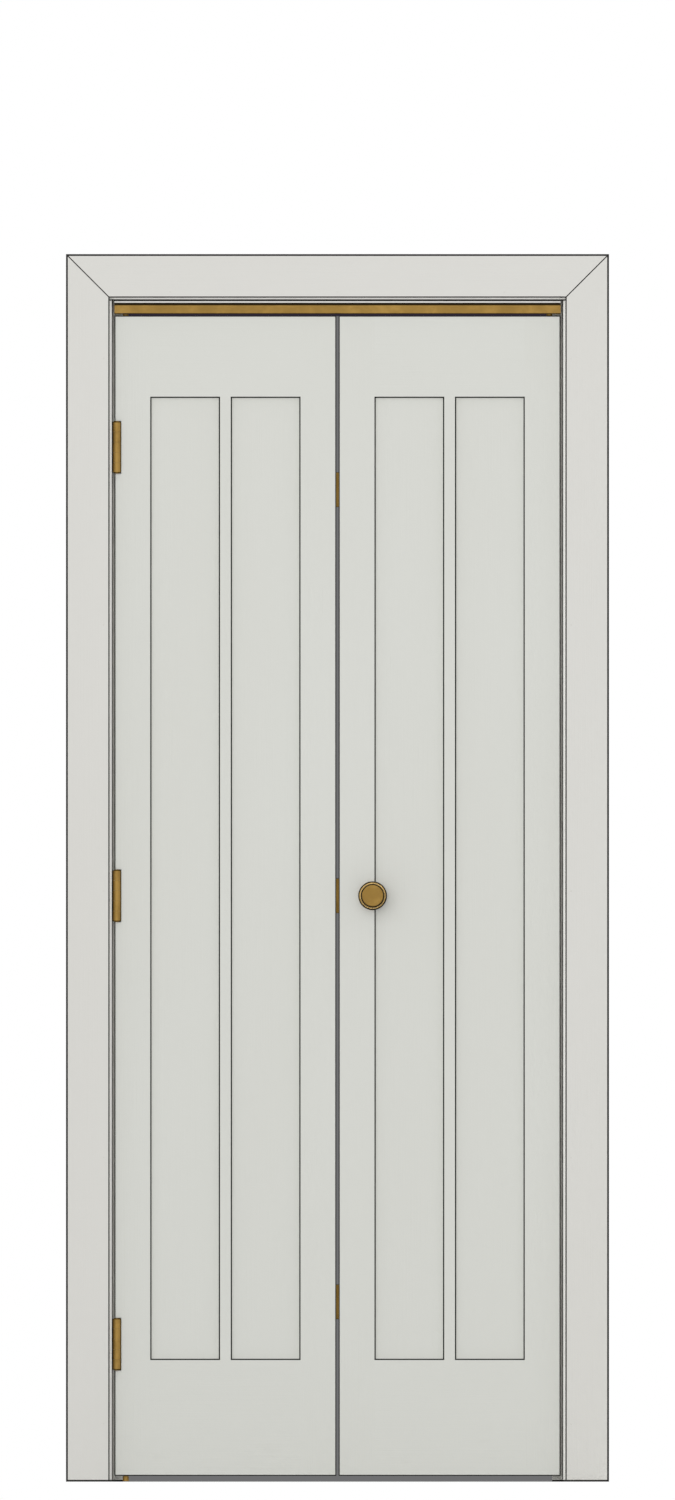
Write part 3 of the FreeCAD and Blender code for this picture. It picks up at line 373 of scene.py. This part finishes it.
def brushed_paint(name, colour, along_axis, lines):
    """Satin paint laid off along the board: brush strokes, grain under it, and painted shade in its joints
    and in dark lines along its edges.
    """
    finish = Finish(name)
    across, _, up = finish.place()
    strokes = finish.noise(620, 9, along_axis, detail=2.0)
    grain = finish.noise(150, 2.6, along_axis, detail=4.0, distortion=0.35)
    stipple = finish.noise(420, detail=1.0)
    tone = finish.noise(3.2, 1.1, along_axis, detail=2.0)

    cloudy = finish.rise(tone, low=0.3, high=0.7) * UNEVEN_TINT
    uneven = cloudy + finish.rise(grain, low=0.62, high=0.8) * GRAIN_TINT
    shade = finish.blend(uneven, colour, HAND_SHADE)
    shade = finish.blend(foot_scuffs(finish, up) * SCUFF_TINT, shade, SCUFF_SHADE)
    shade = finish.blend(hand_marks(finish) * HANDLED_TINT, shade, HAND_SHADE)
    # Painted shade in joints and corners, where ambient occlusion finds them.
    joints = painted_shade_share(finish, PAINT_JOINT_WIDTH, PAINT_JOINT_OPENNESS)
    shade = finish.blend(joints * PAINTED_SHADE_TINT, shade, PAINTED_SHADE)
    # Dark lines of painted shade along edges, quirks, gaps and feet, and the mitres' dark hairlines.
    drawn = lines(finish, across, up)
    shade = finish.blend(drawn, shade, PAINTED_SHADE)

    relief = strokes * 0.45 + grain * 0.35 + stipple * 0.2
    return finish.surface(
        Base_Color=shade,
        Roughness=PAINT_ROUGHNESS + strokes * 0.08 + tone * 0.06 + drawn * LINE_ROUGHNESS,
        Normal=finish.bump(relief, BRUSH_RELIEF),
    )


# ---------------------------------------------------------------- metals, rubber and bare wood

# How wide a corner of the brass takes painted shade, and how open a point may be to take it.
BRASS_JOINT_WIDTH = 1.2 * MM
BRASS_JOINT_OPENNESS = 0.6
METAL_RELIEF = 0.03 * MM
# The painted shade down a hinge barrel: how far below the leaf's face it starts and is full, how squarely the
# metal may still face the front where it starts and is full, and how strong it is.
BARREL_SHADE_START, BARREL_SHADE_FULL = 4 * MM, 1 * MM
FLANK_START_FACING, FLANK_FULL_FACING = 0.6, 0.45
BARREL_SHADE = 0.9


def aged_brass(name, marks, shaded_edges, base=BRASS, corner_shade=0.6, polish=0.3):
    """Satin brass gone mellow: cloudy tarnish, fine marks, and painted shade along its edges and in its
    corners.
    """
    finish = Finish(name)
    cloud = finish.noise(38, detail=4.0, roughness=0.6)
    speck = finish.noise(520, detail=2.0)
    lines = marks(finish)
    tone = finish.blend(finish.rise(cloud, low=0.42, high=0.68) * 0.3, base, BRASS_TARNISH)
    tone = finish.blend(finish.rise(cloud, low=0.5, high=0.3) * 0.25, tone, BRASS_BRIGHT)
    tone = finish.blend(finish.rise(speck, low=0.6, high=0.8) * 0.25, tone, BRASS_TARNISH)
    # Painted shade along the chosen edges, then in the corners.
    tone = finish.blend(shaded_edges(finish), tone, BRASS_SHADE)
    corners = painted_shade_share(finish, BRASS_JOINT_WIDTH, BRASS_JOINT_OPENNESS)
    tone = finish.blend(corners * corner_shade, tone, BRASS_SHADE)
    return finish.surface(
        Base_Color=tone,
        Metallic=1.0,
        Roughness=polish + cloud * 0.16 + lines * 0.06,
        Normal=finish.bump(lines * 0.6 + speck * 0.4, METAL_RELIEF),
    )


def barrel_edges(*plates):
    """Painted shade: 1 down the sides of hinge barrels, where they meet the wood, and in a line at each
    barrel's ends.
    """
    def edges(finish):
        _, depth, up = finish.place()
        off_middle = abs(depth - LEAF_MIDDLE_Y)
        on_barrel = finish.rise(off_middle, LEAF_HALF_THICKNESS - BARREL_SHADE_START,
                                LEAF_HALF_THICKNESS - BARREL_SHADE_FULL)
        dark = finish.rise(finish.facing(), FLANK_START_FACING, FLANK_FULL_FACING)
        for low, high in map(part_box, plates):
            half_length = (high.z - low.z) * HALF
            off_centre = abs(up - (low.z + high.z) * HALF)
            dark = finish.larger(dark, finish.band(off_centre, half_length - OUTLINE * HALF, half_length))
        return dark * on_barrel * BARREL_SHADE
    return edges


def folded_edges(finish):
    """Painted shade: 1 along the top and bottom edges of the track's walls, the top one the heavier."""
    _, _, up = finish.place()
    top = finish.band(up, track_high.z - TRACK_LINE, track_high.z)
    return finish.larger(top, finish.band(up, track_low.z, track_low.z + OUTLINE * HALF))


def off_knob(finish):
    """How far a point lies from the knob's axis."""
    across, _, up = finish.place()
    return ((across - KNOB_X) ** 2 + (up - KNOB_Z) ** 2) ** HALF


def rim_line(radius):
    """Painted shade: 1 in the ring just inside a turned rim of that radius, on the side that faces the room.
    """
    def ring(finish):
        return finish.band(off_knob(finish), radius - OUTLINE, radius) * on_face(finish)
    return ring


def drawn_marks(along_axis):
    """Fine lines left along one axis by drawing or brushing."""
    return lambda finish: finish.noise(1500, 16, along_axis, detail=2.0)


def turned_marks(finish):
    """Fine rings left by the lathe round the knob's axis."""
    rings_per_metre = 2600
    return finish.maths("SINE", off_knob(finish) * rings_per_metre * math.tau) * HALF + HALF


def zinc_steel(name):
    """Zinc plating with its faint spangle."""
    finish = Finish(name)
    spangle = finish.noise(260, detail=3.0)
    tone = finish.blend(finish.rise(spangle, low=0.35, high=0.65), ZINC, ZINC_DULL)
    return finish.surface(
        Base_Color=tone,
        Metallic=1.0,
        Roughness=0.28 + spangle * 0.2,
        Normal=finish.bump(spangle, METAL_RELIEF),
    )


def bare_beech(name):
    """Beech dowels with their short flecks."""
    finish = Finish(name)
    fleck = finish.noise(900, 90, along_axis=0, detail=3.0)
    tone = finish.blend(finish.rise(fleck, low=0.45, high=0.7), BEECH, BEECH_GRAIN)
    return finish.surface(
        Base_Color=tone,
        Roughness=0.62 + fleck * 0.15,
        Normal=finish.bump(fleck, depth=0.08 * MM),
    )


def matt_rubber(name):
    """Moulded rubber with a fine grain and a little dust."""
    finish = Finish(name)
    grain = finish.noise(1100, detail=2.0)
    dust = finish.rise(finish.noise(90, detail=3.0), low=0.5, high=0.8)
    return finish.surface(
        Base_Color=finish.blend(dust * 0.25, RUBBER, ZINC_DULL),
        Roughness=0.7 + dust * 0.2,
        Normal=finish.bump(grain, depth=0.06 * MM),
    )


def dress(material, *names):
    """Puts a material on whole CAD nodes."""
    for name in names:
        for slot in nodes[name].material_slots:
            slot.material = material


def names_with(*words):
    """The CAD nodes whose names hold any of these words."""
    return [name for name in nodes if any(word in name for word in words)]


ALONG_X, ALONG_Z = 0, 2


def dress_woodwork():
    """Paint on the leaves, casing, jambs and stops."""
    dress(brushed_paint("door_paint_upright", DOOR_PAINT, ALONG_Z, leaf_lines),
          *names_with("_stile", "_mullion", "_panel"))
    dress(brushed_paint("door_paint_level", DOOR_PAINT, ALONG_X, leaf_lines), *names_with("_rail"))
    dress(brushed_paint("casing_paint_leg", CASING_PAINT, ALONG_Z, casing_lines),
          "casing_left", "casing_right")
    dress(brushed_paint("casing_paint_head", CASING_PAINT, ALONG_X, casing_lines), "casing_head")
    dress(brushed_paint("jamb_paint_side", JAMB_PAINT, ALONG_Z, jamb_lines),
          "jamb_left", "jamb_right", "stop_left", "stop_right")
    dress(brushed_paint("jamb_paint_head", JAMB_PAINT, ALONG_X, jamb_lines), "head_jamb", "stop_head")
    dress(brushed_paint("jamb_paint_packer", JAMB_PAINT, ALONG_X, packer_lines), "track_packer")
    dress(bare_beech("bare_wood"), "leaf_1_dowels", "leaf_2_dowels")


def dress_hardware():
    """Brass on what shows, zinc and rubber on what doesn't."""
    butt_plates = names_with("_jamb_plate")
    # The hinges take brass lifted lighter, painted light against the shade on their barrels.
    hinge_brass = aged_brass("aged_brass_hinge", drawn_marks(ALONG_Z), barrel_edges(*butt_plates),
                             base=BRASS_HINGE, corner_shade=0.3, polish=0.55)
    dress(hinge_brass, *names_with("butt_hinge"))
    dress(hinge_brass, "anti_lift_pin", "glide_foot", "glide_nut", "guide_pin", "guide_cap")
    fold_plates = names_with("leaf_1_plate")
    fold_brass = aged_brass("aged_brass_fold", drawn_marks(ALONG_Z), barrel_edges(*fold_plates),
                            corner_shade=0)
    dress(fold_brass, *names_with("fold_hinge"))
    dress(aged_brass("aged_brass_track", drawn_marks(ALONG_X), folded_edges), "track")
    dress(aged_brass("aged_brass_knob", turned_marks, rim_line(KNOB_RADIUS)), "knob", "knob_screw")
    # The rose takes brass lifted lighter, painted light against the knob's shade over it.
    rose_brass = aged_brass("aged_brass_rose", turned_marks, rim_line(ROSE_RADIUS),
                            base=BRASS_ROSE, corner_shade=0, polish=0.1)
    dress(rose_brass, "knob_rose")
    dress(zinc_steel("plated_steel"), "guide_spring", "guide_bushing", "glide_socket",
          "frame_corner_screws", "track_screws", "trim_nails")
    dress(matt_rubber("bumper_rubber"), "track_bumper")


# ---------------------------------------------------------------- shapes made by rule

class Recipe:
    """A Geometry Nodes tree with named inputs, run once to give a plain mesh."""

    def __init__(self, name, **sockets):
        self.tree = bpy.data.node_groups.new(name, "GeometryNodeTree")
        for title, kind in sockets.items():
            self.tree.interface.new_socket(title.replace("_", " "), in_out="INPUT",
                                           socket_type="NodeSocket" + kind)
        self.tree.interface.new_socket("Finish", in_out="INPUT", socket_type="NodeSocketMaterial")
        self.tree.interface.new_socket("Shape", in_out="OUTPUT", socket_type="NodeSocketGeometry")
        self.given = self.tree.nodes.new("NodeGroupInput").outputs

    def add(self, kind, **inputs):
        """Adds a node with the values or links of its sockets. Gives its first output."""
        made = self.tree.nodes.new("GeometryNode" + kind)
        for name, value in inputs.items():
            socket = made.inputs[name.replace("_", " ")]
            if isinstance(value, bpy.types.NodeSocket):
                self.tree.links.new(value, socket)
            else:
                socket.default_value = value
        return made.outputs[0]

    def end_with(self, shape):
        """Smooths the shape, makes it real and gives it its material."""
        smooth = self.add("SetShadeSmooth", Geometry=shape)
        painted = self.add("SetMaterial", Geometry=self.add("RealizeInstances", Geometry=smooth),
                           Material=self.given["Finish"])
        self.tree.links.new(painted, self.tree.nodes.new("NodeGroupOutput").inputs[0])

    def mesh(self, material, **values):
        """The mesh that the tree makes from these values."""
        wanted = {"Finish": material, **{name.replace("_", " "): value for name, value in values.items()}}
        holder = bpy.data.objects.new(self.tree.name, bpy.data.meshes.new(self.tree.name))
        bpy.context.scene.collection.objects.link(holder)
        modifier = holder.modifiers.new("recipe", "NODES")
        modifier.node_group = self.tree
        for item in self.tree.interface.items_tree:
            if item.in_out == "INPUT":
                modifier[item.identifier] = wanted[item.name]
        evaluated = holder.evaluated_get(bpy.context.evaluated_depsgraph_get())
        made = bpy.data.meshes.new_from_object(evaluated)
        bpy.data.objects.remove(holder)
        return made


def new_piece(name, mesh, body):
    """Puts a mesh in the scene as a piece that moves with a body."""
    piece = bpy.data.objects.new(name, mesh)
    bpy.context.scene.collection.objects.link(piece)
    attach(piece, body)
    return piece


# ---------------------------------------------------------------- filled nail marks

NAIL_HEAD_RADIUS = 1.2 * MM
MARK_RADIUS = 1.7 * MM
MARK_RISE = 0.12 * MM
MARK_SEGMENTS = 20
MARK_RINGS = 8
LEG_NAILS = 5
HEAD_NAILS = 3
STOP_NAILS = 4


def nail_row_recipe():
    """A row of shallow filled spots, evenly spaced from a start."""
    recipe = Recipe("nail_mark_row", Start="Vector", Spacing="Vector", Count="Int", Spot_Size="Vector")
    row = recipe.add("MeshLine", Count=recipe.given["Count"], Start_Location=recipe.given["Start"],
                     Offset=recipe.given["Spacing"])
    ball = recipe.add("MeshUVSphere", Segments=MARK_SEGMENTS, Rings=MARK_RINGS, Radius=1.0)
    spots = recipe.add("InstanceOnPoints", Points=row, Instance=ball, Scale=recipe.given["Spot Size"])
    recipe.end_with(spots)
    return recipe


def nail_row(recipe, start, end, count, spot_size, material):
    """The mesh of one row of marks between two points."""
    return recipe.mesh(material, Start=start, Spacing=(end - start) / (count - 1), Count=count,
                       Spot_Size=spot_size)


def joined_marks(name, meshes, material):
    """One piece of the frame from several rows of marks."""
    whole = bmesh.new()
    for mesh in meshes:
        whole.from_mesh(mesh)
        bpy.data.meshes.remove(mesh)
    joined = bpy.data.meshes.new(name)
    whole.to_mesh(joined)
    whole.free()
    joined.materials.append(material)
    new_piece(name, joined, "frame")


def nail_marks():
    """The filled and painted heads of the nails in the casing and the stops."""
    recipe = nail_row_recipe()
    margin = nails_low.z + NAIL_HEAD_RADIUS
    land_x = (casing_low.x + jamb_high.x) * HALF
    land_z = (casing_head_low.z + head_jamb_high.z) * HALF
    nail_x = jamb_low.x - margin

    filled = brushed_paint("casing_paint_filled", FILLER_PAINT, ALONG_X, casing_lines)
    on_casing = (MARK_RADIUS, MARK_RISE, MARK_RADIUS)
    front = casing_low.y
    rows = [nail_row(recipe, Vector((-nail_x, front, land_z)), Vector((nail_x, front, land_z)), HEAD_NAILS,
                     on_casing, filled)]
    for x in (-land_x, land_x):
        rows.append(nail_row(recipe, Vector((x, front, margin)), Vector((x, front, head_jamb_low.z - margin)),
                             LEG_NAILS, on_casing, filled))
    joined_marks("casing_nail_marks", rows, filled)

    filled = brushed_paint("jamb_paint_filled", JAMB_PAINT, ALONG_X, jamb_lines)
    middle = (stop_head_low.y + stop_head_high.y) * HALF
    under = stop_head_low.z
    rows = [nail_row(recipe, Vector((-nail_x, middle, under)), Vector((nail_x, middle, under)), HEAD_NAILS,
                     (MARK_RADIUS, MARK_RADIUS, MARK_RISE), filled)]
    for x in (stop_left_high.x, -stop_left_high.x):
        rows.append(nail_row(recipe, Vector((x, middle, margin)), Vector((x, middle, under - margin)),
                             STOP_NAILS, (MARK_RISE, MARK_RADIUS, MARK_RADIUS), filled))
    joined_marks("stop_nail_marks", rows, filled)


# ---------------------------------------------------------------- guide spring

SPRING_WIRE_RADIUS = 0.45 * MM
SPRING_TURNS = 7
SPRING_STEPS = 24
WIRE_SIDES = 10


def guide_spring():
    """The spring under the guide pin, drawn as a wire coil in place of its CAD mesh."""
    low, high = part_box("guide_spring")
    joints = {joint["name"]: joint for joint in frame["record"]["behaviour"]["joints"]}
    travel = max(joints["guide_pin_press"]["range_m"])
    middle = (low + high) * HALF
    length = high.z - low.z

    recipe = Recipe("coil_spring", Foot="Vector", Coil_Radius="Float", Rise="Float")
    coil = recipe.add("CurveSpiral", Resolution=SPRING_STEPS, Rotations=SPRING_TURNS,
                      Start_Radius=recipe.given["Coil Radius"], End_Radius=recipe.given["Coil Radius"],
                      Height=recipe.given["Rise"])
    wire = recipe.add("CurvePrimitiveCircle", Resolution=WIRE_SIDES, Radius=SPRING_WIRE_RADIUS)
    spring = recipe.add("CurveToMesh", Curve=coil, Profile_Curve=wire, Fill_Caps=True)
    recipe.end_with(recipe.add("Transform", Geometry=spring, Translation=recipe.given["Foot"]))

    mesh = recipe.mesh(nodes["guide_spring"].material_slots[0].material,
                       Foot=Vector((middle.x, middle.y, low.z + SPRING_WIRE_RADIUS)),
                       Coil_Radius=(high.x - low.x) * HALF - SPRING_WIRE_RADIUS,
                       Rise=length - 2 * SPRING_WIRE_RADIUS)
    coil_piece = new_piece("guide_spring_coil", mesh, "leaf_2")
    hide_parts("guide_spring")
    (length - travel) / length
    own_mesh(coil_piece)


# ---------------------------------------------------------------- studio

AMBIENT = 0.65
FLOOR_PALE = (0.9, 0.9, 0.9, 1)
FLOOR_LIFT = 0.36
WHITE = (1, 1, 1, 1)
FLOOR_RADIUS = 16.0
FLOOR_EDGES = 96
BACKDROP_DISTANCE = 40.0


def studio_world():
    """Plain soft light all round, and a white ground behind everything that a view or a mirror sees."""
    finish = Finish("studio", bpy.context.scene.world or bpy.data.worlds.new("studio"))
    bpy.context.scene.world = finish.material
    path = finish.add("LightPath")
    seen = path.of("Is Camera Ray") + path.of("Is Glossy Ray") + path.of("Is Transmission Ray")
    strength = AMBIENT + finish.maths("MINIMUM", seen, 1.0) * (1 - AMBIENT)
    ground = finish.add("Background", inputs={"Color": WHITE, "Strength": strength})
    finish.add("OutputWorld", inputs={"Surface": ground})


def studio_floor():
    """A pale floor that keeps the shadow and is white where the light is open."""
    finish = Finish("studio_floor")
    diffuse = finish.add("BsdfDiffuse", inputs={"Color": FLOOR_PALE})
    lift = finish.add("LightPath").of("Is Camera Ray") * FLOOR_LIFT
    glow = finish.add("Emission", inputs={"Color": WHITE, "Strength": lift})
    finish.add("OutputMaterial", inputs={"Surface": finish.add("AddShader", inputs={0: diffuse, 1: glow})})
    bpy.ops.mesh.primitive_circle_add(vertices=FLOOR_EDGES, radius=FLOOR_RADIUS, fill_type="NGON")
    floor = bpy.context.object
    floor.name = "studio_floor"
    floor.data.materials.append(finish.material)


def closet_shade_card():
    """A glowing card of painted shade that stands for the dim closet through the gaps round the closed
    leaves, seen square on only.
    """
    finish = Finish("closet_shade_glow")
    _, _, up = finish.place()
    # Painted shade: darker in a band at the head, under the track.
    dim = finish.blend(finish.rise(up, stile_high.z - OUTLINE, stile_high.z), CLOSET_SHADE_GREY, CLOSET_SHADE_HEAD)
    glow = finish.add("Emission", inputs={"Color": dim, "Strength": 1.0})
    finish.add("OutputMaterial", inputs={"Surface": glow})
    left, right, top = stop_left_high.x, -stop_left_high.x, stop_left_high.z
    corners = [(left, 0), (right, 0), (right, top), (left, top)]
    mesh = bpy.data.meshes.new("closet_shade_card")
    mesh.from_pydata([(x, BACKDROP_DISTANCE, z) for x, z in corners], [], [range(len(corners))])
    mesh.materials.append(finish.material)
    backdrop = bpy.data.objects.new("closet_shade_card", mesh)
    bpy.context.scene.collection.objects.link(backdrop)


def sun(name, strength, softness, azimuth, elevation):
    """A soft lamp that shines from that side of the object and from that height, in degrees."""
    lamp = bpy.data.lights.new(name, "SUN")
    lamp.energy = strength
    lamp.angle = math.radians(softness)
    holder = bpy.data.objects.new(name, lamp)
    around, above = math.radians(azimuth), math.radians(elevation)
    level = math.cos(above)
    towards = Vector((math.sin(around) * level, -math.cos(around) * level, math.sin(above)))
    holder.rotation_mode = "QUATERNION"
    holder.rotation_quaternion = towards.to_track_quat("Z", "Y")
    bpy.context.scene.collection.objects.link(holder)


def camera():
    """Square on to the face of the door, without perspective."""
    lens = bpy.data.cameras.new("elevation")
    lens.type = "ORTHO"
    lens.ortho_scale = VIEW_LONG_SIDE
    lens.clip_end = 2 * BACKDROP_DISTANCE
    stand = bpy.data.objects.new("elevation", lens)
    stand.location = (0, -VIEW_DISTANCE, VIEW_MIDDLE_HEIGHT)
    stand.rotation_euler = (math.radians(90), 0, 0)
    bpy.context.scene.collection.objects.link(stand)
    bpy.context.scene.camera = stand


def main():
    """Dresses the door, adds its small pieces and sets up the studio."""
    dress_woodwork()
    dress_hardware()
    nail_marks()
    guide_spring()
    studio_world()
    studio_floor()
    closet_shade_card()
    sun("key", strength=1.03, softness=50, azimuth=-10, elevation=13)
    sun("fill_behind", strength=0.7, softness=60, azimuth=150, elevation=30)
    camera()
    bpy.context.scene.view_settings.view_transform = "Standard"


main()
